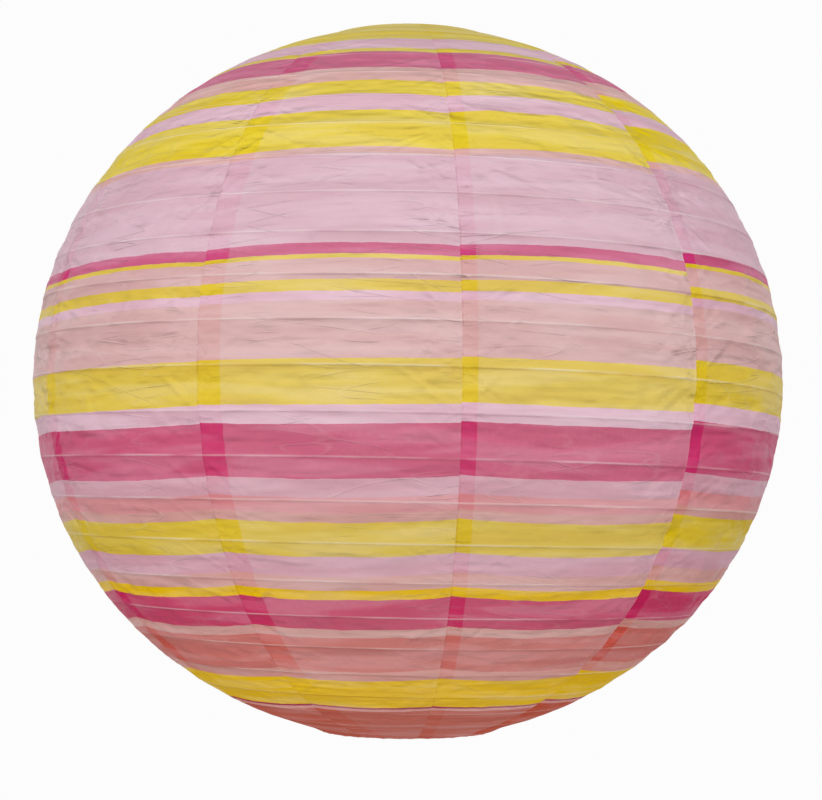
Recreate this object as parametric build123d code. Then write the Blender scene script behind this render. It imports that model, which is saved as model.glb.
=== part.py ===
from build123d import *
import math
import os

# Accordion paper lantern, hanging from the wire loop in its top opening.
# The origin is the centre of that loop, in the plane of the top ring. +Z is up.
# Azimuth is measured from the front (-Y) towards +X.

# Body of the lantern
lantern_diameter = 400.0
body_height = 380.8          # the full height the rounded body would have if it had no openings
opening_diameter = 90.2      # to the middle of each ring's wire

# Paper
gore_count = 10
paper_thickness = 0.3
lap_width = 9.0              # glued lap of one gore under the next
first_seam = 7.0             # azimuth of the seam nearest the front
pleat_gap = 0.3              # clearance left between pleats, which move apart

# Spiral rib
pleat_count = 25             # turns of the rib, one for each pleat
rib_diameter = 0.9
rib_start = 104.0            # azimuth where the rib leaves the top ring
rib_clearance = 0.3          # between the rib and the inner lap
rib_segments = 36            # straight runs in one turn

# Opening rings and the paper folded round them
ring_wire = 2.2
hem_clearance = 0.05
hem_mouth = 60.0             # degrees of the wire left open where the hem meets the skin

# Expander, one bent wire
expander_wire = 2.0
loop_radius = 7.5            # hanging loop, to the middle of the wire
loop_segments = 24
ear_gap = 0.35               # between an ear or foot and the hem it presses on
leg_inset = 4.5              # of each leg inside the ring's wire
hinge_drop = 3.0             # of each leg's top below the crown
foot_reach = 4.2             # of each foot outwards from its leg

radius = lantern_diameter / 2
half_height = body_height / 2
ring_radius = opening_diameter / 2
ring_offset = half_height * math.sqrt(1 - (ring_radius / radius) ** 2)
hem_radius = ring_wire / 2 + hem_clearance + paper_thickness
meridian_steps = 4000


def meridian_table():
    """Points down the body from ring to ring: length along the paper, radius, height."""
    start = math.acos(ring_offset / half_height)
    table = []
    length = 0.0
    for step in range(meridian_steps + 1):
        angle = start + (math.pi - 2 * start) * step / meridian_steps
        point = (radius * math.sin(angle), half_height * math.cos(angle) - ring_offset)
        if table:
            length += math.dist(point, table[-1][1:])
        table.append((length, *point))
    return table


meridian = meridian_table()
meridian_length = meridian[-1][0]


def on_meridian(length):
    """Radius and height at a length along the paper below the top ring."""
    low = 0
    high = meridian_steps
    while high - low > 1:
        middle = (low + high) // 2
        if meridian[middle][0] <= length:
            low = middle
        else:
            high = middle
    share = (length - meridian[low][0]) / (meridian[high][0] - meridian[low][0])
    r = meridian[low][1] + share * (meridian[high][1] - meridian[low][1])
    z = meridian[low][2] + share * (meridian[high][2] - meridian[low][2])
    return r, z


def fold_line(number):
    """Radius and height of a fold between pleats; 0 is at the top ring."""
    return on_meridian(meridian_length * number / pleat_count)


def around(r, azimuth, z):
    """The point at a radius, azimuth and height."""
    turn = math.radians(azimuth)
    return (r * math.sin(turn), -r * math.cos(turn), z)


def save(shape, name):
    export_step(shape, f"parts/{name}.step")


def bent_wire(points, diameter):
    """A round wire of straight runs through the points, mitred at each bend."""
    path = Polyline(*points)
    start = Plane(origin=points[0], z_dir=Vector(*points[1]) - Vector(*points[0]))
    return sweep(start * Circle(diameter / 2), path=path, transition=Transition.RIGHT)


def sheet_profile(top, bottom, outer, inner):
    """Section of a straight sheet from top to bottom, between two distances outside that line."""
    run = math.dist(top, bottom)
    out = ((top[1] - bottom[1]) / run, (bottom[0] - top[0]) / run)
    corners = []
    for point, away in ((top, outer), (bottom, outer), (bottom, inner), (top, inner)):
        corners.append((point[0] + out[0] * away, point[1] + out[1] * away))
    return Plane.XZ * Polygon(*corners, align=None)


def pleat_paper(number):
    """One pleat: a panel of each gore, with its lap tucked under the gore to its right."""
    top_end = meridian_length * number / pleat_count + pleat_gap / 2
    bottom_end = meridian_length * (number + 1) / pleat_count - pleat_gap / 2
    if number == 0:
        top_end = hem_radius + pleat_gap
    if number == pleat_count - 1:
        bottom_end = meridian_length - hem_radius - pleat_gap
    top = on_meridian(top_end)
    bottom = on_meridian(bottom_end)
    gore_angle = 360 / gore_count
    lap_angle = math.degrees(lap_width / max(top[0], bottom[0]))
    skin = sheet_profile(top, bottom, 0, -paper_thickness)
    lap = sheet_profile(top, bottom, -paper_thickness, -2 * paper_thickness)
    edge = math.degrees(paper_thickness / min(top[0], bottom[0]))
    panel = revolve(skin, Axis.Z, revolution_arc=gore_angle - edge)
    tongue = revolve(lap, Axis.Z, revolution_arc=lap_angle)
    panel += Rot(0, 0, gore_angle - edge - lap_angle / 2) * tongue
    panels = []
    for gore in range(gore_count):
        panels.append(Rot(0, 0, first_seam + gore * gore_angle - 90) * panel)
    return Compound(children=panels)


def rib_turn(number):
    """One turn of the spiral rib, on the inside of its pleat, stopped clear of the hems."""
    top = fold_line(number)
    bottom = fold_line(number + 1)
    end_room = hem_radius + rib_clearance + rib_diameter
    if number == 0:
        top = on_meridian(end_room)
    if number == pleat_count - 1:
        bottom = on_meridian(meridian_length - end_room)
    run = math.dist(top, bottom)
    inside = 2 * paper_thickness + rib_clearance + rib_diameter / 2
    r_in = inside * (top[1] - bottom[1]) / run
    z_in = inside * (bottom[0] - top[0]) / run
    end_gap = pleat_gap / 2 / (2 * math.pi * min(top[0], bottom[0]))
    points = []
    for step in range(rib_segments + 1):
        share = end_gap + (1 - 2 * end_gap) * step / rib_segments
        r = top[0] + share * (bottom[0] - top[0]) - r_in
        z = top[1] + share * (bottom[1] - top[1]) - z_in
        points.append(around(r, rib_start + 360 * share, z))
    return bent_wire(points, rib_diameter)


def opening_ring(height):
    """The wire ring of one opening."""
    return Pos(0, 0, height) * Torus(ring_radius, ring_wire / 2)


def hem(height, mouth_side):
    """Paper folded round an opening ring, open towards the skin. mouth_side is -1 below, 1 above."""
    inner = ring_wire / 2 + hem_clearance
    wrap = Circle(inner + paper_thickness) - Circle(inner)
    reach = 2 * hem_radius
    width = reach * math.tan(math.radians(hem_mouth / 2))
    mouth = Polygon((0, 0), (reach, width), (reach, -width), align=None)
    section = wrap - Rot(0, 0, mouth_side * hem_mouth / 3) * mouth
    placed = Plane.XZ * Pos(ring_radius, height) * section
    return revolve(placed, Axis.Z)


def crown():
    """Top of the expander: ears under the ring, arms and a hanging loop of one turn between."""
    tip = -hem_radius - ear_gap
    side = expander_wire / 2 + ear_gap / 2
    points = [(ring_radius, side, tip), (ring_radius, side, -loop_radius)]
    for step in range(loop_segments + 1):
        turn = 2 * math.pi * step / loop_segments
        along = side - 2 * side * step / loop_segments
        points.append((-loop_radius * math.sin(turn), along, -loop_radius * math.cos(turn)))
    points += [(-ring_radius, -side, -loop_radius), (-ring_radius, -side, tip)]
    return bent_wire(points, expander_wire)


def leg(side):
    """One leg of the expander and the foot that presses the bottom ring down."""
    x = side * (ring_radius - leg_inset)
    y = side * (expander_wire / 2 + ear_gap / 2)
    top = -loop_radius - hinge_drop
    sole = -2 * ring_offset + hem_radius + ear_gap + expander_wire / 2
    points = [(x, y, top), (x, y, sole), (x + side * foot_reach, y, sole)]
    return bent_wire(points, expander_wire)


os.makedirs("parts", exist_ok=True)

save(opening_ring(0), "top_ring")
save(opening_ring(-2 * ring_offset), "bottom_ring")
save(hem(0, -1), "top_hem")
save(hem(-2 * ring_offset, 1), "bottom_hem")
save(crown(), "expander_crown")
save(leg(1), "expander_leg_right")
save(leg(-1), "expander_leg_left")
for number in range(pleat_count):
    save(pleat_paper(number), f"pleat_{number + 1:02d}_paper")
    save(rib_turn(number), f"rib_turn_{number + 1:02d}")

for number in range(pleat_count + 1):
    print("fold", number, "radius %.3f height %.3f" % fold_line(number))
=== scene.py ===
import math

import bpy
import numpy as np
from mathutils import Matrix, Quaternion, Vector


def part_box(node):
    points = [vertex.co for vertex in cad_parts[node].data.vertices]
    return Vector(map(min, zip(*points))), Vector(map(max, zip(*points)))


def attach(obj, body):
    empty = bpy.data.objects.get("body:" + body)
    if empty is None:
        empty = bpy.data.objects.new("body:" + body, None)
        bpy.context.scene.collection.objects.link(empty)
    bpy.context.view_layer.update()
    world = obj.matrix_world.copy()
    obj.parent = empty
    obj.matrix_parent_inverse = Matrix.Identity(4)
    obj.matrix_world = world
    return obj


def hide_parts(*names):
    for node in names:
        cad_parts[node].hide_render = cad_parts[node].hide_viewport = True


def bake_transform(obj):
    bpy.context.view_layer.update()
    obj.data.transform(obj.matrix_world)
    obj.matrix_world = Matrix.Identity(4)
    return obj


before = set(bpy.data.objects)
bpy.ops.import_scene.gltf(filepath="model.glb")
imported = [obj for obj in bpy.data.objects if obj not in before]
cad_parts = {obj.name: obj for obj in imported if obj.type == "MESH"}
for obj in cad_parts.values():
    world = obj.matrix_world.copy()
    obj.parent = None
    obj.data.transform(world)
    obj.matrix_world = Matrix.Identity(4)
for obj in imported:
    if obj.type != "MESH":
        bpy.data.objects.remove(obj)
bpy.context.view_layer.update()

mm = 0.001

# Azimuth is measured from the front (-Y) towards +X. Lengths with Mm in their names are in millimetres,
# the others in metres.
ringLow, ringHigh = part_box("top_ring")
ringTopZ = (ringLow.z + ringHigh.z) / 2
ringWire = (ringHigh.z - ringLow.z) / 2
ringRadius = (ringHigh.x - ringLow.x) / 2 - ringWire
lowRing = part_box("bottom_ring")
ringBottomZ = (lowRing[0].z + lowRing[1].z) / 2

lantern = {
    "radius": 0.2,             # metres
    "pleats": 25,
    "gores": 10,
    "firstSeam": 7.0,          # degrees
    "ribStart": 104.0,         # degrees, where the spiral leaves the top ring
    "sheetStride": 300.0,      # mm that tell the sheets' width coordinates apart, more than a sheet's width
    "seed": 41,
}

centreZ = (ringTopZ + ringBottomZ) / 2
ringOffset = (ringTopZ - ringBottomZ) / 2
halfHeight = ringOffset / math.sqrt(1 - (ringRadius / lantern["radius"]) ** 2)


def meridianCurve(steps=20000):
    # ellipse from ring to ring by its angle t: radius a sin t, height b cos t; length added up along it
    start = math.acos(ringOffset / halfHeight)
    t = np.linspace(start, math.pi - start, steps)
    r = lantern["radius"] * np.sin(t)
    z = halfHeight * np.cos(t)
    length = np.concatenate([[0], np.cumsum(np.hypot(np.diff(r), np.diff(z)))])
    return length, r, z


meridianLength, meridianRadius, meridianHeight = meridianCurve()
paperLength = meridianLength[-1]
pitch = paperLength / lantern["pleats"]
pitchMm = pitch / mm


def onMeridian(below):
    # radius and height at lengths along the paper below the top ring
    r = np.interp(below, meridianLength, meridianRadius)
    z = np.interp(below, meridianLength, meridianHeight) + centreZ
    return r, z


def outward(r, z):
    # unit normal of the ellipse in its own plane: radius over a squared, height over b squared
    nr = r / lantern["radius"] ** 2
    nz = (z - centreZ) / halfHeight ** 2
    size = np.hypot(nr, nz)
    return nr / size, nz / size


def aroundAxis(r, z, turn):
    # points at a radius, a height and an azimuth in radians
    return np.stack([r * np.sin(turn), -r * np.cos(turn), z], -1)


def gridMesh(name, points, faces, material, cornerData=None):
    # smooth faces of four corners each; cornerData holds each attribute's kind and its value at every corner
    mesh = bpy.data.meshes.new(name)
    mesh.vertices.add(len(points))
    mesh.vertices.foreach_set("co", points.astype(np.float32).ravel())
    mesh.loops.add(faces.size)
    mesh.loops.foreach_set("vertex_index", faces.astype(np.int32).ravel())
    mesh.polygons.add(len(faces))
    mesh.polygons.foreach_set("loop_start", np.arange(0, faces.size, faces.shape[1], dtype=np.int32))
    mesh.polygons.foreach_set("use_smooth", np.ones(len(faces), bool))
    mesh.update(calc_edges=True)
    for label, (kind, values) in (cornerData or {}).items():
        layer = mesh.attributes.new(label, kind, "CORNER")
        field = "vector" if kind == "FLOAT_VECTOR" else "value"
        layer.data.foreach_set(field, values.astype(np.float32).ravel())
    mesh.validate()
    piece = bpy.data.objects.new(name, mesh)
    bpy.context.scene.collection.objects.link(piece)
    mesh.materials.append(material)
    return piece


def tube(name, path, radius, material, sides):
    # a circle carried along the path on a frame that turns as little as it can from point to point
    ahead = np.roll(path, -1, 0) - np.roll(path, 1, 0)
    ahead[0] = path[1] - path[0]
    ahead[-1] = path[-1] - path[-2]
    ahead /= np.linalg.norm(ahead, axis=1)[:, None]
    side = np.cross(ahead[0], [0.31, 0.17, 0.93])      # any direction that no path starts along
    sideways = np.zeros_like(path)
    for k, direction in enumerate(ahead):
        side = side - direction * side.dot(direction)
        side = side / np.linalg.norm(side)
        sideways[k] = side
    upward = np.cross(ahead, sideways)
    turn = (np.arange(sides) * 2 * math.pi / sides)[None, :, None]
    circles = np.cos(turn) * sideways[:, None] + np.sin(turn) * upward[:, None]
    points = (path[:, None] + radius * circles).reshape(-1, 3)
    start = np.arange(len(path) - 1)[:, None] * sides
    a = (start + np.arange(sides)).ravel()
    b = (start + (np.arange(sides) + 1) % sides).ravel()
    faces = np.stack([a, b, b + sides, a + sides], 1).tolist()
    faces.append(list(range(sides))[::-1])
    faces.append(list(range(len(points) - sides, len(points))))
    mesh = bpy.data.meshes.new(name)
    mesh.from_pydata(points.tolist(), [], faces)
    # round sides, flat ends
    mesh.polygons.foreach_set("use_smooth", [len(face) == 4 for face in faces])
    mesh.materials.append(material)
    piece = bpy.data.objects.new(name, mesh)
    bpy.context.scene.collection.objects.link(piece)
    return piece


def shellFaces(rows, columns):
    # an outer and an inner wall of rows by columns that close round the lantern, and the two rims between
    # them; in each, the columns count up, so a face's column is its number's remainder
    i = np.arange(rows - 1)[:, None] * columns
    j = np.arange(columns)
    k = (j + 1) % columns
    a, b, c, d = i + j, i + k, i + columns + k, i + columns + j
    outer = np.stack([a, d, c, b], -1).reshape(-1, 4)
    inner = np.stack([a, b, c, d], -1).reshape(-1, 4) + rows * columns
    low = (rows - 1) * columns
    top = np.stack([j, k, k + rows * columns, j + rows * columns], -1)
    bottom = np.stack([k + low, j + low, j + low + rows * columns, k + low + rows * columns], -1)
    return np.vstack([outer, inner, top, bottom])


def addNode(tree, kind, **settings):
    node = tree.nodes.new(kind)
    for key, value in settings.items():
        setattr(node, key, value)
    return node


def calc(tree, operation, a, b=None):
    # one Math node; a and b are sockets or numbers
    node = addNode(tree, "ShaderNodeMath", operation=operation)
    for socket, value in zip(node.inputs, (a, b)):
        if isinstance(value, (int, float)):
            socket.default_value = value
        elif value is not None:
            tree.links.new(value, socket)
    return node.outputs[0]


def plus(tree, total, *others):
    for value in others:
        total = calc(tree, "ADD", total, value)
    return total


def times(tree, product, *others):
    for value in others:
        product = calc(tree, "MULTIPLY", product, value)
    return product


def minus(tree, a, b):
    return calc(tree, "SUBTRACT", a, b)


def band(tree, value, low, high):
    # 0 below low, 1 above high, smooth between
    node = addNode(tree, "ShaderNodeMapRange", interpolation_type="SMOOTHSTEP")
    tree.links.new(value, node.inputs["Value"])
    node.inputs["From Min"].default_value = low
    node.inputs["From Max"].default_value = high
    return node.outputs["Result"]


def mixColour(tree, share, a, b, blendType="MIX"):
    node = addNode(tree, "ShaderNodeMix", data_type="RGBA", blend_type=blendType)
    sockets = {"share": node.inputs[0], "a": node.inputs[6], "b": node.inputs[7]}
    for key, value in (("share", share), ("a", a), ("b", b)):
        if isinstance(value, (int, float, tuple)):
            sockets[key].default_value = value
        else:
            tree.links.new(value, sockets[key])
    return node.outputs[2]


def noise(tree, vector, scale, detail=3.0, roughness=0.5):
    node = addNode(tree, "ShaderNodeTexNoise")
    tree.links.new(vector, node.inputs["Vector"])
    node.inputs["Scale"].default_value = scale
    node.inputs["Detail"].default_value = detail
    node.inputs["Roughness"].default_value = roughness
    return node.outputs["Fac"]


def stretched(tree, vector, x, y, z):
    node = addNode(tree, "ShaderNodeMapping")
    tree.links.new(vector, node.inputs["Vector"])
    node.inputs["Scale"].default_value = (x, y, z)
    return node.outputs[0]


def flatSpot(tree, x, y):
    # a vector of two values, for a texture that lies on the flat sheet
    spot = addNode(tree, "ShaderNodeCombineXYZ")
    tree.links.new(x, spot.inputs[0])
    tree.links.new(y, spot.inputs[1])
    return spot.outputs[0]


def linear(rgb):
    # display value out of 255 to scene value
    out = []
    for c in rgb:
        c = c / 255
        out.append(c / 12.92 if c <= 0.04045 else ((c + 0.055) / 1.055) ** 2.4)
    return (*out, 1.0)


inks = {
    "straw": (235, 212, 82),
    "lemon": (230, 204, 99),
    # painted shade: lemon made darker for the shade of a fold across one stripe
    "shadedLemon": (222, 195, 88),
    "sun": (233, 190, 26),
    "lilac": (229, 191, 205),
    "orchid": (223, 187, 200),
    "mauve": (215, 168, 180),
    "blush": (221, 183, 181),
    "sand": (227, 184, 179),
    "dusty": (216, 168, 162),
    "beige": (214, 165, 158),
    "clay": (214, 156, 147),
    "fuchsia": (210, 112, 145),
    "cerise": (208, 105, 134),
    "rose": (202, 88, 116),
    "salmon": (222, 157, 160),
    "coral": (206, 126, 119),
    "brick": (194, 102, 86),
    "wine": (166, 62, 84),
}

# width of each printed stripe, in mm, from the top of the print down
stripes = [
    (51.2, "straw"), (15.6, "lilac"), (5.3, "straw"), (19.1, "fuchsia"), (13.2, "sand"), (12.0, "straw"),
    (12.2, "lilac"), (24.6, "straw"), (4.6, "sand"), (48.3, "orchid"), (6.2, "fuchsia"), (1.9, "lemon"),
    (9.8, "blush"), (5.3, "lemon"), (4.9, "lilac"), (26.6, "blush"), (21.2, "lemon"), (8.2, "lilac"),
    (25.4, "cerise"), (8.4, "mauve"), (7.8, "salmon"), (5.2, "beige"), (17.8, "shadedLemon"), (10.6, "mauve"),
    (7.6, "dusty"), (6.1, "sun"), (18.2, "rose"), (6.0, "beige"), (25.5, "coral"), (7.7, "clay"),
    (28.4, "sun"), (2.3, "wine"), (3.2, "clay"), (61.5, "brick"),
]
printTop = 260.0        # mm above the equator
stripeEdges = printTop - np.concatenate([[0], np.cumsum([width for width, ink in stripes])])
stripesHalf = len(stripes) // 2         # one colour ramp holds 32 colours at most, so there are two


def stripeRamp(tree, height, first, last):
    # one colour ramp over some of the stripes, by the print's height in mm
    high, low = stripeEdges[first], stripeEdges[last]
    node = addNode(tree, "ShaderNodeValToRGB")
    ramp = node.color_ramp
    ramp.interpolation = "CONSTANT"
    while len(ramp.elements) < last - first:
        ramp.elements.new(0.5)
    for element, edge, (width, ink) in zip(ramp.elements, stripeEdges[first:last], stripes[first:last]):
        element.position = float((high - edge) / (high - low))
        element.color = linear(inks[ink])
    tree.links.new(calc(tree, "DIVIDE", minus(tree, high, height), float(high - low)), node.inputs[0])
    return node.outputs[0]


def newGroup(name, vectors, colours, floats):
    # a node group with the named inputs, and with colour, roughness and height out
    group = bpy.data.node_groups.new(name, "ShaderNodeTree")
    for kind, labels in (("Vector", vectors), ("Color", colours), ("Float", floats)):
        for label in labels:
            group.interface.new_socket(label, in_out="INPUT", socket_type="NodeSocket" + kind)
    for label, kind in (("Color", "Color"), ("Roughness", "Float"), ("Height", "Float")):
        group.interface.new_socket(label, in_out="OUTPUT", socket_type="NodeSocket" + kind)
    return group, addNode(group, "NodeGroupInput"), addNode(group, "NodeGroupOutput")


tissue = {
    "edgeWaver": 0.9,             # mm that the stripes' edges stray
    "fineWaver": 0.25,            # mm, in small steps
    "thinInk": (0.86, 0.78, 0.78, 1.0),
    "thickInk": (0.62, 0.50, 0.50, 1.0),
    "thickShare": 0.8,            # of the thin ink's strength
    # painted sheen and painted shade, in broad level bands
    "paintedSheen": (0.80, 0.66, 0.74, 1.0),
    "paintedSheenShare": 0.10,
    "paintedShade": (0.90, 0.83, 0.84, 1.0),
    "paintedShadeShare": 0.6,
    "taut": (120.0, 225.0),       # mm from the equator: loose before the first, taut after the second
    "lapSaturation": 1.26,
    "lapShare": 0.70,
    "lapLostWhenTaut": 0.4,       # share, as the laps show less where the skin is taut
    # painted highlight along each rib's crest
    "crestHighlight": (0.96, 0.90, 0.86, 1.0),
    # painted shade just under each rib
    "underRib": (0.80, 0.72, 0.72, 1.0),
    "underRibShadeShare": 0.36,
    # painted shadow line under each rib
    "ribShadow": (0.70, 0.52, 0.55, 1.0),
    "ribShadowShare": 0.42,
    # painted shadow along a sheet's cut edge
    "cutEdgeShadow": (0.66, 0.44, 0.46, 1.0),
    "cutEdgeShadowShare": 0.32,
    # painted highlight along the fold lines
    "foldHighlight": (0.95, 0.88, 0.84, 1.0),
    "foldHighlightShare": 0.05,
    "foldLineHeight": 0.2,        # mm, as the heights below
    "streakHeight": 0.36,
    "grainHeight": 0.05,
    "ribHeight": 0.16,
    "roughness": (0.34, 0.2),     # least, and what thin ink adds
    "specular": 0.05,
}


def printedStripes(tree, place, height, waver, ink):
    # the stripes by the print's height, with edges that waver; ink is how strong the sheet's colour is
    fine = minus(tree, noise(tree, place, 900.0, 2.0), 0.5)
    wavered = plus(tree, height, times(tree, waver, tissue["edgeWaver"]),
                   times(tree, fine, tissue["fineWaver"]))
    upper = stripeRamp(tree, wavered, 0, stripesHalf)
    lower = stripeRamp(tree, wavered, stripesHalf, len(stripes))
    isUpper = calc(tree, "GREATER_THAN", wavered, float(stripeEdges[stripesHalf]))
    printed = addNode(tree, "ShaderNodeHueSaturation")
    tree.links.new(mixColour(tree, isUpper, lower, upper), printed.inputs["Color"])
    tree.links.new(ink, printed.inputs["Saturation"])
    return printed.outputs[0]


def unevenInk(tree, colour, place, mottle):
    # broad clouds, specks and a fibre grain added up; where the sum is high the ink is thin
    clouds = noise(tree, place, 26.0, 4.0, 0.55)
    specks = noise(tree, place, 420.0, 3.0, 0.6)
    fibres = noise(tree, stretched(tree, place, 900.0, 900.0, 90.0), 1.0, 2.0, 0.5)
    tone = plus(tree, times(tree, clouds, 0.55), times(tree, specks, 0.3), times(tree, fibres, 0.15))
    thin = times(tree, band(tree, tone, 0.48, 0.66), mottle)
    thick = times(tree, band(tree, minus(tree, 1.0, tone), 0.5, 0.68), mottle, tissue["thickShare"])
    colour = mixColour(tree, thin, colour, tissue["thinInk"])
    return mixColour(tree, thick, colour, tissue["thickInk"], "MULTIPLY"), tone


def levelShadeAndSheen(tree, colour, across, height):
    # painted shade in broad level bands, and a painted sheen between them
    drift = flatSpot(tree, times(tree, across, 0.011), times(tree, height, 0.10))
    shadeField = noise(tree, drift, 1.0, 2.0)
    paintedSheen = times(tree, band(tree, minus(tree, 1.0, shadeField), 0.46, 0.62), tissue["paintedSheenShare"])
    paintedShade = times(tree, band(tree, shadeField, 0.42, 0.64), tissue["paintedShadeShare"])
    colour = mixColour(tree, paintedSheen, colour, tissue["paintedSheen"])
    return mixColour(tree, paintedShade, colour, tissue["paintedShade"], "MULTIPLY")


def gluedLaps(tree, colour, lapPlace, waver, taut):
    # where two sheets are glued the colour is denser; lapPlace is 0 at the seam and 1 where the lap ends
    lapEdge = plus(tree, lapPlace, times(tree, waver, 0.06))
    lap = minus(tree, 1.0, band(tree, lapEdge, 0.97, 1.03))
    dense = addNode(tree, "ShaderNodeHueSaturation")
    dense.inputs["Saturation"].default_value = tissue["lapSaturation"]
    tree.links.new(colour, dense.inputs["Color"])
    shown = minus(tree, tissue["lapShare"], times(tree, taut, tissue["lapLostWhenTaut"]))
    return mixColour(tree, times(tree, lap, shown), colour, dense.outputs[0])


def ribMarks(tree, colour, place, ribTurns, highlight):
    # underRib is mm below the rib above; the painted highlight on the rib's crest comes and goes along each
    # rib
    underRib = times(tree, calc(tree, "FRACT", ribTurns), pitchMm)
    toRib = calc(tree, "MINIMUM", underRib, minus(tree, pitchMm, underRib))
    crest = minus(tree, 1.0, band(tree, toRib, 0.1, 0.8))
    highlit = band(tree, noise(tree, place, 22.0, 3.0), 0.36, 0.62)
    colour = mixColour(tree, times(tree, crest, highlit, highlight), colour, tissue["crestHighlight"])
    # painted shade: the colour is darker just under a rib
    shadeUnderRib = times(tree, minus(tree, 1.0, band(tree, underRib, 0.6, 7.5)), band(tree, underRib, 0.3, 0.9),
                   band(tree, noise(tree, place, 9.0, 1.0), 0.38, 0.62), tissue["underRibShadeShare"])
    colour = mixColour(tree, shadeUnderRib, colour, tissue["underRib"], "MULTIPLY")
    # a thin painted shadow line just under the rib, left out where the painted highlight is
    line = times(tree, band(tree, underRib, 0.3, 0.7), minus(tree, 1.0, band(tree, underRib, 0.8, 1.5)))
    kept = minus(tree, tissue["ribShadowShare"], times(tree, highlit, tissue["ribShadowShare"]))
    return mixColour(tree, times(tree, line, kept), colour, tissue["ribShadow"], "MULTIPLY"), crest


def cutEdge(tree, colour, place, across):
    # painted shadow: a broken dark line along the cut edge of the upper sheet, at the sheet's own left
    fromEdge = calc(tree, "MODULO", across, lantern["sheetStride"])
    edgeShadow = times(tree, minus(tree, 1.0, band(tree, fromEdge, 0.35, 1.0)),
                 band(tree, noise(tree, place, 240.0, 2.0), 0.42, 0.60), tissue["cutEdgeShadowShare"])
    return mixColour(tree, edgeShadow, colour, tissue["cutEdgeShadow"], "MULTIPLY")


def creases(tree, place, across, height, wide, tall, size, seed):
    # heights in mm: scattered points drawn out along the sheet, and the distance to the nearest one,
    # squared, so the lines between them are sharp folds; a slow noise turns some of them inside out
    bent = times(tree, minus(tree, noise(tree, place, 700.0 / tall, 2.0), 0.5), 0.9)
    spot = flatSpot(tree, plus(tree, times(tree, across, 1 / wide), seed),
                    plus(tree, times(tree, height, 1 / tall), bent))
    cell = addNode(tree, "ShaderNodeTexVoronoi", voronoi_dimensions="2D", feature="F1")
    tree.links.new(spot, cell.inputs["Vector"])
    cell.inputs["Scale"].default_value = 1.0
    far = calc(tree, "POWER", cell.outputs["Distance"], 2.0)
    sign = band(tree, noise(tree, place, 40.0 + seed, 1.0), 0.36, 0.64)
    return times(tree, far, minus(tree, times(tree, sign, 1.7), 0.6), size)


def foldLines(tree, across, height, lean, long, apart, offset):
    # long thin folds: where a noise drawn out along one slanting direction crosses its middle value
    run, rise = math.cos(math.radians(lean)), math.sin(math.radians(lean))
    alongIt = plus(tree, times(tree, across, run / long), times(tree, height, rise / long), offset)
    overIt = plus(tree, times(tree, across, -rise / apart), times(tree, height, run / apart))
    off = minus(tree, noise(tree, flatSpot(tree, alongIt, overIt), 1.0, 0.0), 0.5)
    return minus(tree, 1.0, band(tree, calc(tree, "ABSOLUTE", off), 0.0, 0.024))


def crumple(tree, place, across, height, toSeam, folds):
    # heights in mm of the whole sheet: creases everywhere, more by the seams, streaks, folds and grain
    bySeam = minus(tree, 1.0, band(tree, toSeam, 1.0, 20.0))
    relief = plus(tree, creases(tree, place, across, height, 30.0, 8.5, 1.0, 3.3),
                  creases(tree, place, across, height, 12.0, 3.4, 0.26, 11.7),
                  times(tree, bySeam, creases(tree, place, across, height, 7.5, 4.6, 0.95, 23.1)),
                  times(tree, bySeam, creases(tree, place, across, height, 2.6, 2.2, 0.3, 31.9)))
    level = flatSpot(tree, times(tree, across, 0.03), times(tree, height, 0.42))
    streak = calc(tree, "ABSOLUTE", minus(tree, noise(tree, level, 1.0, 4.0), 0.5))
    relief = minus(tree, relief, times(tree, streak, tissue["streakHeight"]))
    grain = noise(tree, place, 1500.0, 2.0, 0.6)
    return plus(tree, relief, times(tree, folds, tissue["foldLineHeight"]),
                times(tree, grain, tissue["grainHeight"]))


def makeTissuePrint():
    # Sheet holds mm across, mm of print height and the place in the lap; Place is in metres
    group, entry, out = newGroup("tissuePrint", ("Sheet", "Place"), (),
                                 ("Rib Turns", "To Seam", "Ink", "Mottle", "Highlight"))
    place = entry.outputs["Place"]
    split = addNode(group, "ShaderNodeSeparateXYZ")
    group.links.new(entry.outputs["Sheet"], split.inputs[0])
    across, height, lapPlace = split.outputs
    waver = minus(group, noise(group, place, 90.0, 2.0), 0.5)
    # the skin is taut towards the openings, and loose between them
    taut = band(group, calc(group, "ABSOLUTE", height), *tissue["taut"])

    colour = printedStripes(group, place, height, waver, entry.outputs["Ink"])
    colour, tone = unevenInk(group, colour, place, entry.outputs["Mottle"])
    colour = levelShadeAndSheen(group, colour, across, height)
    colour = gluedLaps(group, colour, lapPlace, waver, taut)
    colour, crest = ribMarks(group, colour, place, entry.outputs["Rib Turns"], entry.outputs["Highlight"])
    colour = cutEdge(group, colour, place, across)
    folds = calc(group, "MAXIMUM", foldLines(group, across, height, 4.0, 75.0, 9.0, 3.7),
                 foldLines(group, across, height, -8.0, 60.0, 11.0, 9.1))
    folds = times(group, folds, band(group, noise(group, place, 24.0, 2.0), 0.46, 0.60))
    # painted highlight: the fold lines are lightened a little
    colour = mixColour(group, times(group, folds, tissue["foldHighlightShare"]), colour, tissue["foldHighlight"])

    relief = crumple(group, place, across, height, entry.outputs["To Seam"], folds)
    relief = times(group, relief, minus(group, 1.0, times(group, taut, 0.75)))
    # the wire shows through as a narrow raised line
    relief = plus(group, relief, times(group, crest, tissue["ribHeight"]))
    least, added = tissue["roughness"]
    group.links.new(colour, out.inputs["Color"])
    group.links.new(plus(group, least, times(group, tone, added)), out.inputs["Roughness"])
    group.links.new(relief, out.inputs["Height"])
    return group


tissuePrint = makeTissuePrint()


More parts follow.
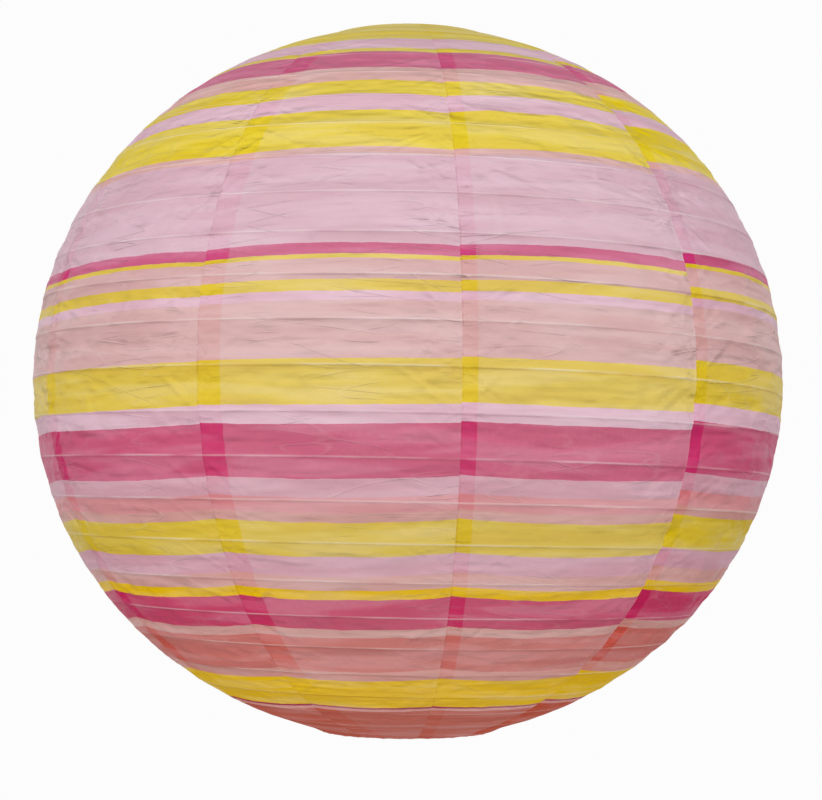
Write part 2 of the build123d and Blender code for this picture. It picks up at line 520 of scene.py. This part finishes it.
def newMaterial(name, group, distance, strength=1.0):
    # a shader fed by the group's colour, roughness and height, the height through a Bump node
    material = bpy.data.materials.new(name)
    material.use_nodes = True
    tree = material.node_tree
    shader = tree.nodes["Principled BSDF"]
    look = addNode(tree, "ShaderNodeGroup", node_tree=group)
    place = addNode(tree, "ShaderNodeTexCoord")
    tree.links.new(place.outputs["Object"], look.inputs["Place"])
    relief = addNode(tree, "ShaderNodeBump")
    relief.inputs["Strength"].default_value = strength
    relief.inputs["Distance"].default_value = distance
    tree.links.new(look.outputs["Height"], relief.inputs["Height"])
    tree.links.new(relief.outputs[0], shader.inputs["Normal"])
    tree.links.new(look.outputs["Color"], shader.inputs["Base Color"])
    tree.links.new(look.outputs["Roughness"], shader.inputs["Roughness"])
    return material, look, shader


def tissueMaterial(name, mottle, highlight):
    # the mesh's attributes feed the group's inputs
    material, look, shader = newMaterial(name, tissuePrint, mm)
    tree = material.node_tree
    look.inputs["Mottle"].default_value = mottle
    look.inputs["Highlight"].default_value = highlight
    sheet = addNode(tree, "ShaderNodeAttribute", attribute_name="sheet")
    tree.links.new(sheet.outputs["Vector"], look.inputs["Sheet"])
    for attribute, label in (("ribTurns", "Rib Turns"), ("toSeam", "To Seam"), ("ink", "Ink")):
        value = addNode(tree, "ShaderNodeAttribute", attribute_name=attribute)
        tree.links.new(value.outputs["Fac"], look.inputs[label])
    shader.inputs["Specular IOR Level"].default_value = tissue["specular"]
    return material


def makeWireWear():
    # drawn wire: fine lines, dull patches and dark spots
    group, entry, out = newGroup("wireWear", ("Place",), ("Bright", "Dull"), ())
    place = entry.outputs["Place"]
    patches = band(group, noise(group, place, 160.0, 4.0, 0.6), 0.4, 0.65)
    spots = band(group, noise(group, place, 900.0, 2.0), 0.62, 0.72)
    colour = mixColour(group, patches, entry.outputs["Bright"], entry.outputs["Dull"])
    colour = mixColour(group, times(group, spots, 0.6), colour, (0.16, 0.14, 0.12, 1.0))
    roughness = plus(group, 0.26, times(group, patches, 0.24), times(group, spots, 0.2))
    group.links.new(colour, out.inputs["Color"])
    group.links.new(roughness, out.inputs["Roughness"])
    group.links.new(noise(group, place, 2200.0, 2.0), out.inputs["Height"])
    return group


wireWear = makeWireWear()


def wireMaterial(name, bright, dull):
    material, look, shader = newMaterial(name, wireWear, 0.2 * mm, 0.2)
    look.inputs["Bright"].default_value = linear(bright)
    look.inputs["Dull"].default_value = linear(dull)
    shader.inputs["Metallic"].default_value = 1.0
    return material


printedPaper = tissueMaterial("printedPaper", 0.04, 0.28)
hemPaper = tissueMaterial("hemPaper", 0.2, 0.0)
galvanised = wireMaterial("galvanisedWire", (206, 208, 208), (150, 152, 152))
ribSteel = wireMaterial("ribSteel", (214, 212, 206), (160, 156, 148))
print("materials made")


paper = {
    "columns": 68,            # in one gore
    "rows": 24,               # in one pleat
    "thickness": 0.15,        # mm
    "edgeInset": 0.6,         # mm that the first and last pleats stop short of the rings, under the hems
    "standScale": 0.42,       # share of the relief, whose heights follow, that the mesh stands out by
    "shadeScale": 1.2,        # and that its normals lean by
    "sag": 1.15,              # mm that the sheet lies inside a line from rib to rib, at the middle
    "ribLift": (0.40, 0.9),   # mm that it lies outside the body at a rib: everywhere, and more where slack
    "drawnIn": 0.25,          # mm just under each rib
    "edgeStep": 0.30,         # mm that the upper sheet stands over the lower one at a seam
    "edgeFades": 5.0,         # mm across the sheet that this step fades over
    "seamDip": 0.25,          # mm, beside the glue
    "dipWidth": 3.5,          # mm
    # waves pinned at the ribs: mm tall, and noise cells down and round the lantern; the last run level
    "waves": ((0.42, (60, 90)), (0.25, (150, 160)), (0.22, (240, 50))),
    # for each sheet in mm, the first one left of the front seam: its lap's width, how high its print sits,
    # and how far the print falls from the sheet's left edge to its right
    "lapWidths": (12.4, 7.3, 8.4, 11.0, 9.0, 12.5, 9.8, 10.5, 8.8, 13.0),
    "printShift": (0.0, -0.3, 2.2, -0.5, 0.3, 0.6, -0.4, 0.2, -0.6, -0.4),
    "printLean": (0.4, 1.6, 2.4, 0.5, -0.6, 1.1, 0.2, 0.9, -0.4, -0.2),
    # strength of each sheet's colour
    "ink": (1.0, 1.0, 1.11, 1.03, 0.98, 1.02, 1.0, 0.97, 1.04, 1.07),
    "printBow": 0.56,         # share of the full bow, as the damp sheets gave a little when they were glued
}
goreAngle = 360 / lantern["gores"]
columnsInGore = paper["columns"]
columnCount = columnsInGore * lantern["gores"]
rowCount = paper["rows"] * lantern["pleats"] + 1

# share of the gore's width of each column; one column stands just after the seam, where the sheet steps up
columnShares = np.linspace(0, 1, columnsInGore)[:-1]
columnShares = np.insert(columnShares, 1, 0.003)
goreOf = np.repeat(np.arange(lantern["gores"]), columnsInGore)
shareOf = np.tile(columnShares, lantern["gores"])
seamAt = lantern["firstSeam"] - goreAngle
azimuth = seamAt + (goreOf + shareOf) * goreAngle                 # degrees
below = np.linspace(0, paperLength, rowCount) / mm                # mm below the top ring
bodyR, bodyZ = onMeridian(below * mm)
radiusMm = bodyR / mm
ribTurnsAt = below[:, None] / pitchMm - ((azimuth - lantern["ribStart"]) / 360)[None]
phase = ribTurnsAt % 1.0                                          # 0 at each rib, 1 at the next one down
acrossMm = shareOf[None] * np.radians(goreAngle) * radiusMm[:, None]   # from the gore's left seam


hem = {
    "wrapRadius": 1.42,       # mm round the ring's wire
    "wrapAngles": (-10, 245),  # degrees round the wire: 0 is outwards, 90 away from the body
    "flap": (1.5, 9.0),       # mm along the skin, from the wrap to the flap's edge
    "flapInset": 1.9,         # mm inside the skin
    "flapRows": 8,
    "around": 14,
    "columns": 360,
    "pucker": 0.28,           # mm
    "holds": 12.0,            # mm of the skin beside it that it keeps flat
    "riseShare": 0.93,        # of the wrap's radius, that the skin rises to pass over the ring
    "riseWidth": 5.5,         # mm
    "thickness": 0.2,         # mm
}


def smoothNoise(rng, cells, size):
    # random values on a coarse grid, blended between by cubic steps; the columns meet round the lantern
    coarse = rng.standard_normal((cells[0] + 1, cells[1]))
    coarse = np.hstack([coarse, coarse[:, :1]])
    y = np.linspace(0, cells[0] - 1e-6, size[0])
    x = np.linspace(0, cells[1], size[1], endpoint=False)
    yi, xi = y.astype(int), x.astype(int)
    fy, fx = y - yi, x - xi
    fy = (fy * fy * (3 - 2 * fy))[:, None]
    fx = (fx * fx * (3 - 2 * fx))[None]
    a, b = coarse[np.ix_(yi, xi)], coarse[np.ix_(yi, xi + 1)]
    c, d = coarse[np.ix_(yi + 1, xi)], coarse[np.ix_(yi + 1, xi + 1)]
    return (a * (1 - fx) + b * fx) * (1 - fy) + (c * (1 - fx) + d * fx) * fy


creaseShapes = {
    # ranges of length, half width and height, in mm
    "fan": {"long": (12, 55), "wide": (1.0, 2.2), "tall": (0.2, 0.6)},
    "ripple": {"long": (20, 70), "wide": (0.9, 2.0), "tall": (0.10, 0.42)},
    "dent": {"long": (7, 20), "wide": (0.9, 1.8), "tall": (0.08, 0.30)},
}


def oneCrease(rng, u, v):
    # height of a straight crease over the cell's points, by mm across and mm down from the rib: a rounded
    # ridge with a shallower hollow beside it, tapering to nothing at both ends
    width = u.max()
    draw = rng.random()       # two creases in five are fans, a third are level ripples, the rest dents
    kind = "fan" if draw < 0.42 else "ripple" if draw < 0.75 else "dent"
    facing, start = 1, -0.5
    if kind == "fan":         # spreads from a rib at the seam on one side
        facing = 1 if rng.random() < 0.5 else -1
        u0 = 0.0 if facing > 0 else width
        v0 = 0.0 if rng.random() < 0.5 else pitchMm
        lean = rng.uniform(6, 48) * (1 if v0 == 0 else -1) * facing
        start = 0.0
    else:
        u0 = rng.uniform(0, width)
        v0 = rng.uniform(2, pitchMm - 2)
        lean = rng.normal(0, 4) if kind == "ripple" else rng.uniform(20, 75) * rng.choice([-1, 1])
    long, wide, tall = [rng.uniform(*creaseShapes[kind][key]) for key in ("long", "wide", "tall")]
    if kind == "dent":
        tall = -tall
    dx, dy = facing * math.cos(math.radians(lean)), facing * math.sin(math.radians(lean))
    along = ((u - u0) * dx + (v - v0) * dy) / long
    off = (-(u - u0) * dy + (v - v0) * dx) / wide
    taper = np.clip(1 - ((along - start - 0.5) * 2) ** 2, 0, 1)
    return tall * taper * (np.exp(-off * off) - 0.45 * np.exp(-((off - 1.3) / 1.3) ** 2))


def addCreases(rng, relief, pin):
    # each cell between two ribs and two seams has its own creases, pinned at the ribs
    cellTurns = np.floor(ribTurnsAt).astype(int)
    for gore in range(lantern["gores"]):
        cols = np.flatnonzero(goreOf == gore)
        for cell in range(cellTurns[:, cols].min(), cellTurns[:, cols].max() + 1):
            inside = cellTurns[:, cols] == cell
            rows = np.flatnonzero(inside.any(1))
            if not len(rows):
                continue
            block = np.ix_(rows, cols)
            u, v = acrossMm[block], phase[block] * pitchMm
            added = np.zeros_like(u)
            for crease in range(rng.integers(20, 30)):
                added += oneCrease(rng, u, v)
            relief[block] += np.where(inside[rows], added * pin[block], 0)


def paperRelief():
    # height of the sheet over the smooth body, mm: sagging between ribs, creases pinned at the ribs,
    # broad waves, and the step of one sheet over the next; and its rise over the rings
    rng = np.random.default_rng(lantern["seed"])
    size = (rowCount, columnCount)
    arch = 4 * phase * (1 - phase)
    # the skin is taut and nearly smooth towards the openings
    slack = np.clip((bodyR / lantern["radius"] - 0.22) / 0.62, 0.12, 1)[:, None]
    lift, slackLift = paper["ribLift"]
    tension = 1 + 0.45 * smoothNoise(rng, (25, 20), size)
    sag = paper["sag"] * arch * np.clip(tension, 0.1, 2.2) * slack ** 0.5
    relief = lift + slackLift * slack - sag
    relief += 0.30 * np.sin(2 * np.pi * phase) * smoothNoise(rng, (26, 16), size) * slack
    # just under each rib the sheet is drawn in further than above it
    drawnIn = np.clip(1 + 0.8 * smoothNoise(rng, (25, 60), size), 0, 2.2) * slack
    relief -= paper["drawnIn"] * drawnIn * np.exp(-((phase - 0.09) / 0.07) ** 2)
    pin = np.clip(np.sin(np.pi * phase), 0, 1) ** 0.7 * slack
    for tall, cells in paper["waves"]:
        relief += pin * tall * smoothNoise(rng, cells, size)
    addCreases(rng, relief, pin)
    # the seam: the right-hand sheet steps up, and both dip a little beside the glue
    step = np.where(shareOf[None] > 0, np.exp(-acrossMm / paper["edgeFades"]), 0)
    relief += paper["edgeStep"] * step * slack
    toSeam = np.minimum(acrossMm, np.radians(goreAngle) * radiusMm[:, None] - acrossMm)
    dip = paper["seamDip"] * pin * np.exp(-(toSeam / paper["dipWidth"]) ** 2)
    relief -= dip * (1 + 0.7 * smoothNoise(rng, (75, 10), size))
    # near the openings the sheet is held by the hem
    toTop, toBottom = below, below[-1] - below
    hold = np.clip(np.minimum(toTop, toBottom) / hem["holds"], 0, 1)[:, None]
    # and there it rises to pass over the ring's wire
    rise = np.exp(-(toTop / hem["riseWidth"]) ** 2) + np.exp(-(toBottom / hem["riseWidth"]) ** 2)
    return relief * hold, hem["wrapRadius"] * hem["riseShare"] * rise[:, None]


relief, ringRise = paperRelief()


def gridPoints(r, z, turn, lift):
    # points of the body moved out along its own normal
    nr, nz = outward(r, z)
    return aroundAxis(r[:, None] + nr[:, None] * lift, z[:, None] + nz[:, None] * lift, turn)


def gridNormals(points):
    # across the two central differences; the columns meet round the lantern
    sideways = np.roll(points, -1, 1) - np.roll(points, 1, 1)
    down = np.gradient(points, axis=0)
    normal = np.cross(down, sideways)
    return normal / np.linalg.norm(normal, axis=2)[..., None]


# the sheet shades a little more strongly than it stands out, so the outline stays even
paperNormals = gridNormals(gridPoints(bodyR, bodyZ, np.radians(azimuth),
                                      (relief * paper["shadeScale"] + ringRise) * mm))
relief = relief * paper["standScale"] + ringRise
print("paper relief made")

lapWide = np.array(paper["lapWidths"])
printShift = np.array(paper["printShift"])
printLean = np.array(paper["printLean"])


def printHeight(mmBelow, across, gore):
    # a stripe is straight on the flat sheet, so on the body it bows:
    # height minus half the radius times the angle from the gore's middle squared times the radius's slope
    r = np.interp(mmBelow, below, radiusMm)
    slope = np.interp(mmBelow, below, np.gradient(radiusMm, below))
    offMiddle = np.radians((across - 0.5) * goreAngle)
    flat = below[-1] / 2 - (mmBelow - paper["printBow"] * 0.5 * r * offMiddle ** 2 * slope)
    return flat - printShift[gore] + printLean[gore] * (across - 0.5)


def paperPleat(number):
    # a piece of the body from fold to fold, all round, moved out by the relief, with an inner side and rims
    rows = np.arange(number * paper["rows"], (number + 1) * paper["rows"] + 1)
    r, z = bodyR[rows], bodyZ[rows]
    if number == 0:
        r[0], z[0] = onMeridian(paper["edgeInset"] * mm)
    if number == lantern["pleats"] - 1:
        r[-1], z[-1] = onMeridian((below[-1] - paper["edgeInset"]) * mm)
    turn = np.radians(azimuth)
    lift = relief[rows] * mm
    inLap = acrossMm[rows] < lapWide[goreOf][None]
    thick = paper["thickness"] * mm * (1 + inLap)
    points = np.vstack([gridPoints(r, z, turn, lift).reshape(-1, 3),
                        gridPoints(r, z, turn, lift - thick).reshape(-1, 3)])
    faces = shellFaces(len(rows), columnCount)

    # each corner of a face takes its sheet's own measures, so nothing blends across a seam
    vertexRow = (faces // columnCount) % len(rows)
    vertexCol = faces % columnCount
    gore = goreOf[np.arange(len(faces)) % columnCount][:, None]
    across = np.where(goreOf[vertexCol] == gore, shareOf[vertexCol], 1.0)
    mmBelow = below[rows][vertexRow]
    goreWide = np.radians(goreAngle) * np.interp(mmBelow, below, radiusMm)
    acrossAt = across * goreWide
    sheet = np.stack([acrossAt + lantern["sheetStride"] * gore, printHeight(mmBelow, across, gore),
                      acrossAt / lapWide[gore]], -1)
    angle = seamAt + (gore + across) * goreAngle
    turns = mmBelow / pitchMm - (angle - lantern["ribStart"]) / 360 + 2      # + 2 keeps it above zero
    data = {
        "sheet": ("FLOAT_VECTOR", sheet),
        "ribTurns": ("FLOAT", turns),
        "toSeam": ("FLOAT", np.minimum(acrossAt, goreWide - acrossAt)),
        "ink": ("FLOAT", np.broadcast_to(np.array(paper["ink"])[gore], faces.shape)),
    }
    piece = gridMesh(f"paper_pleat_{number + 1:02d}", points, faces, printedPaper, data)
    # normals of the whole skin, so that the pleats shade as one sheet
    normals = paperNormals[rows].reshape(-1, 3)
    piece.data.normals_split_custom_set_from_vertices(np.vstack([normals, -normals]).tolist())
    return piece


def followFolds(piece):
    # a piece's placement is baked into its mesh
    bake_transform(piece)


for k in range(lantern["pleats"]):
    pleat = paperPleat(k)
    followFolds(pleat)
    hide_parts(f"pleat_{k + 1:02d}_paper")
print("paper pleats made")


rib = {"diameter": 0.9, "steps": 160, "gap": 0.25, "endGap": 2.6}      # mm, but for the steps of one turn
ribInset = (rib["diameter"] / 2 + rib["gap"] + paper["thickness"] * 2) * mm


def ribPiece(number):
    # one turn of the spiral: the azimuth and the length below the ring grow together
    done = np.linspace(0, 1, rib["steps"] + 1)
    down = np.clip((number + done) * pitchMm, rib["endGap"], below[-1] - rib["endGap"])
    r, z = onMeridian(down * mm)
    nr, nz = outward(r, z)
    turn = np.radians(lantern["ribStart"] + 360 * done)
    path = aroundAxis(r - nr * ribInset, z - nz * ribInset, turn)
    return tube(f"spiral_rib_{number + 1:02d}", path, rib["diameter"] / 2 * mm, ribSteel, sides=8)


for k in range(lantern["pleats"]):
    turnPiece = ribPiece(k)
    followFolds(turnPiece)
    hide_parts(f"rib_turn_{k + 1:02d}")
print("spiral rib made")


def hemPiece(name, topSide):
    # profile: from the skin, round the ring's wire, then inwards along the inside of the first pleat
    side, ringZ = (1, ringTopZ) if topSide else (-1, ringBottomZ)
    wrap = np.radians(np.linspace(*hem["wrapAngles"], hem["around"]))[:, None]
    flap = np.linspace(*hem["flap"], hem["flapRows"] + 1)[1:, None]
    turn = np.arange(hem["columns"]) * 2 * math.pi / hem["columns"]
    rng = np.random.default_rng(7 if topSide else 8)
    ripple = np.zeros(hem["columns"])
    for waves in (11, 23, 37, 61, 97):
        ripple += rng.normal(0, 1) * np.sin(waves * turn + rng.uniform(0, 6.28))
    ripple *= hem["pucker"] / 2.2

    def profile(out):
        reach = (hem["wrapRadius"] + out + 0.25 * ripple) * mm
        r, z = onMeridian((flap if topSide else below[-1] - flap) * mm)
        nr, nz = outward(r, z)
        inset = (hem["flapInset"] - out + 0.6 * ripple * np.minimum(1, flap / 6)) * mm
        rr = np.vstack([ringRadius + reach * np.cos(wrap), r - nr * inset])
        zz = np.vstack([ringZ + side * reach * np.sin(wrap), z - nz * inset])
        return aroundAxis(rr, zz, turn).reshape(-1, 3)

    points = np.vstack([profile(0), profile(-hem["thickness"])])
    faces = shellFaces(hem["around"] + hem["flapRows"], hem["columns"])
    if topSide:
        faces = faces[:, [0, 3, 2, 1]]
    # plain paper in the colour at the end of the print, without a lap, a rib or a seam near
    height = np.full(faces.shape, side * (printTop - 4))
    sheet = np.stack([faces % hem["columns"] * 0.8, height, np.full(faces.shape, 3.0)], -1)
    data = {
        "sheet": ("FLOAT_VECTOR", sheet),
        "ribTurns": ("FLOAT", np.full(faces.shape, 0.5)),
        "toSeam": ("FLOAT", np.full(faces.shape, 6.0)),
        "ink": ("FLOAT", np.ones(faces.shape)),
    }
    return gridMesh(name, points, faces, hemPaper, data)


topHem = hemPiece("top_hem_paper", True)
followFolds(topHem)
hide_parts("top_hem")
bottomHem = hemPiece("bottom_hem_paper", False)
followFolds(bottomHem)
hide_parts("bottom_hem")
print("hems made")

for label in ("top_ring", "bottom_ring"):
    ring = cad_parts[label]
    ring.data.materials.clear()
    ring.data.materials.append(galvanised)

expander = {
    "wire": 2.0,        # mm, as are all of these
    "loop": 7.5,        # radius of the hanging loop
    "twist": 1.18,      # half the distance between the two wires where they cross
    "legIn": 4.5,       # from the ring's centre line in to a leg
    "foot": 4.2,        # length
    "hookGap": 0.45,    # over the hem on the ring
    "footGap": 0.4,
    "legStart": 2.5,    # below the arms
}


def rounded(corners, radii, step=0.6):
    # straight runs joined by arcs: each corner is cut back and a circular arc put in
    corners = [np.array(c, float) for c in corners]
    out = [corners[0]]
    for k in range(1, len(corners) - 1):
        a, b, c = corners[k - 1], corners[k], corners[k + 1]
        p, q = (a - b) / np.linalg.norm(a - b), (c - b) / np.linalg.norm(c - b)
        half = math.acos(np.clip(p.dot(q), -1, 1)) / 2
        back = radii[k - 1] / math.tan(half)
        bisect = (p + q) / np.linalg.norm(p + q)
        middle = b + bisect * radii[k - 1] / math.sin(half)
        first, last = b + p * back - middle, b + q * back - middle
        sweep = math.acos(np.clip(first.dot(last) / radii[k - 1] ** 2, -1, 1))
        count = max(3, int(radii[k - 1] * sweep / step))
        for t in np.linspace(0, sweep, count + 1):
            out.append(middle + (first * math.sin(sweep - t) + last * math.sin(t)) / math.sin(sweep))
    out.append(corners[-1])
    return np.array(out) * mm


def fillIn(path, longest=4 * mm):
    # adds points on long straight runs, so that they can bend
    out = [path[0]]
    for a, b in zip(path[:-1], path[1:]):
        count = max(1, int(math.ceil(np.linalg.norm(b - a) / longest)))
        out += [a + (b - a) * t for t in np.linspace(0, 1, count + 1)[1:]]
    return np.array(out)


ringMm = ringRadius / mm
legX = ringMm - expander["legIn"]


def crownPiece():
    # up from a leg and over the ring as an ear, arm in, once round the hanging loop, and the same back out
    y, arm = expander["twist"], -expander["loop"]
    earTop = -(hem["wrapRadius"] + expander["hookGap"] + expander["wire"] / 2)
    right = rounded([(legX, y, arm - expander["legStart"]), (legX + 2.0, y, arm + 1.0),
                     (ringMm + 0.6, y, earTop - 0.6), (ringMm - 4.6, y, earTop - 0.2),
                     (ringMm - 9.0, y, arm), (2.0, y, arm)], [2.0, 2.0, 1.7, 3.0])
    turn = np.linspace(0, 2 * math.pi, 61)
    loop = np.stack([-expander["loop"] * np.sin(turn), y - 2 * y * turn / (2 * math.pi),
                     -expander["loop"] * np.cos(turn)], -1) * mm
    left = right[::-1] * np.array([-1, -1, 1])
    path = np.vstack([right, loop, left])
    return tube("expander_crown_wire", path, expander["wire"] / 2 * mm, galvanised, sides=16)


def legPiece(side):
    # straight down, then out under the bottom ring as a foot
    low = (ringBottomZ - ringTopZ) / mm + hem["wrapRadius"] + expander["footGap"] + expander["wire"] / 2
    x, y = side * legX, side * expander["twist"]
    foot = x + side * expander["foot"]
    path = rounded([(x, y, -expander["loop"] - expander["legStart"]), (x, y, low), (foot, y, low)], [1.8])
    name = "expander_leg_wire_" + ("right" if side > 0 else "left")
    return tube(name, fillIn(path), expander["wire"] / 2 * mm, galvanised, sides=16)


crown = crownPiece()
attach(crown, "top")
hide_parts("expander_crown")
for side, word in ((1, "right"), (-1, "left")):
    leg = legPiece(side)
    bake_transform(leg)
    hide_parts(f"expander_leg_{word}")
print("expander made")

studio = {"floorDrop": 1.9, "width": 9.0, "front": 6.0, "back": 1.8, "wall": 5.0, "bend": 1.2}     # metres


def backdrop():
    # floor, a quarter-circle bend and a wall, carried across the width
    bend = np.radians(np.linspace(-90, 0, 25))
    wallY = studio["back"] + studio["bend"]
    y = np.concatenate([[-studio["front"]], studio["bend"] * np.cos(bend) + studio["back"], [wallY]])
    floorZ = ringBottomZ - studio["floorDrop"]
    z = np.concatenate([[floorZ], studio["bend"] * (np.sin(bend) + 1) + floorZ, [floorZ + studio["wall"]]])
    x = np.linspace(-studio["width"] / 2, studio["width"] / 2, 9)
    points = np.stack([np.tile(x, len(y)), np.repeat(y, len(x)), np.repeat(z, len(x))], -1)
    i = np.arange(len(y) - 1)[:, None]
    j = np.arange(len(x) - 1)[None]
    m = len(x)
    faces = np.stack([i * m + j, i * m + j + 1, (i + 1) * m + j + 1, (i + 1) * m + j], -1).reshape(-1, 4)
    # a lit white wall behind, over a grey floor
    material = bpy.data.materials.new("paleBackdrop")
    material.use_nodes = True
    tree = material.node_tree
    shader = tree.nodes["Principled BSDF"]
    place = addNode(tree, "ShaderNodeTexCoord")
    split = addNode(tree, "ShaderNodeSeparateXYZ")
    tree.links.new(place.outputs["Object"], split.inputs[0])
    lit = band(tree, split.outputs[2], -1.2, -0.95)
    colour = mixColour(tree, lit, (0.30, 0.30, 0.30, 1), (0.0, 0.0, 0.0, 1))
    tree.links.new(colour, shader.inputs["Base Color"])
    shader.inputs["Roughness"].default_value = 0.9
    shader.inputs["Specular IOR Level"].default_value = 0.0
    shader.inputs["Emission Color"].default_value = (1.0, 1.0, 1.0, 1)
    tree.links.new(times(tree, lit, 0.975), shader.inputs["Emission Strength"])
    piece = gridMesh("studio_backdrop", points, faces, material)


backdrop()


def areaLight(name, at, aim, size, power):
    light = bpy.data.lights.new(name, "AREA")
    light.shape = "RECTANGLE"
    light.size, light.size_y = size
    light.energy = power
    lamp = bpy.data.objects.new(name, light)
    lamp.location = at
    lamp.rotation_mode = "QUATERNION"
    lamp.rotation_quaternion = (Vector(aim) - Vector(at)).to_track_quat("-Z", "Y")
    bpy.context.scene.collection.objects.link(lamp)


lights = {
    # place and size in metres, power in watts
    "softKey": ((-0.3, -2.42, 0.68), (0.9, 0.6), 31.5),
    "softFront": ((0.3, -2.6, -0.2), (1.4, 0.9), 9),
    "softLeft": ((-2.3, -0.7, 0.1), (0.8, 1.4), 14),
    "softRight": ((2.3, -0.7, 0.1), (0.8, 1.4), 16),
    "softBelow": ((-0.05, 0.05, -1.75), (1.2, 0.9), 13),
}
for label, (at, size, power) in lights.items():
    areaLight(label, at, (0, 0, centreZ), size, power)

world = bpy.data.worlds.new("softRoom")
bpy.context.scene.world = world
world.use_nodes = True
world.node_tree.nodes["Background"].inputs["Color"].default_value = (1.0, 0.99, 0.98, 1)
world.node_tree.nodes["Background"].inputs["Strength"].default_value = 0.27

# distance and drop in metres, turns in degrees, lens in mm
viewCamera = {"distance": 1.14, "drop": 0.0722, "pitch": 3.17, "yaw": 0.087, "roll": 0.17, "lens": 92.15}
cameraData = bpy.data.cameras.new("camera")
cameraData.lens = viewCamera["lens"]
cameraData.sensor_width = 36.0
camera = bpy.data.objects.new("camera", cameraData)
camera.location = (0, -viewCamera["distance"], centreZ - viewCamera["drop"])
camera.rotation_mode = "QUATERNION"
pitchTurn = math.radians(viewCamera["pitch"])
yawTurn = math.radians(viewCamera["yaw"])
level = math.cos(pitchTurn)
ahead = Vector((math.sin(yawTurn) * level, math.cos(yawTurn) * level, math.sin(pitchTurn)))
roll = Quaternion((0, 0, 1), math.radians(viewCamera["roll"]))
camera.rotation_quaternion = ahead.to_track_quat("-Z", "Y") @ roll
bpy.context.scene.collection.objects.link(camera)
bpy.context.scene.camera = camera
bpy.context.scene.view_settings.view_transform = "Standard"
print("studio made")
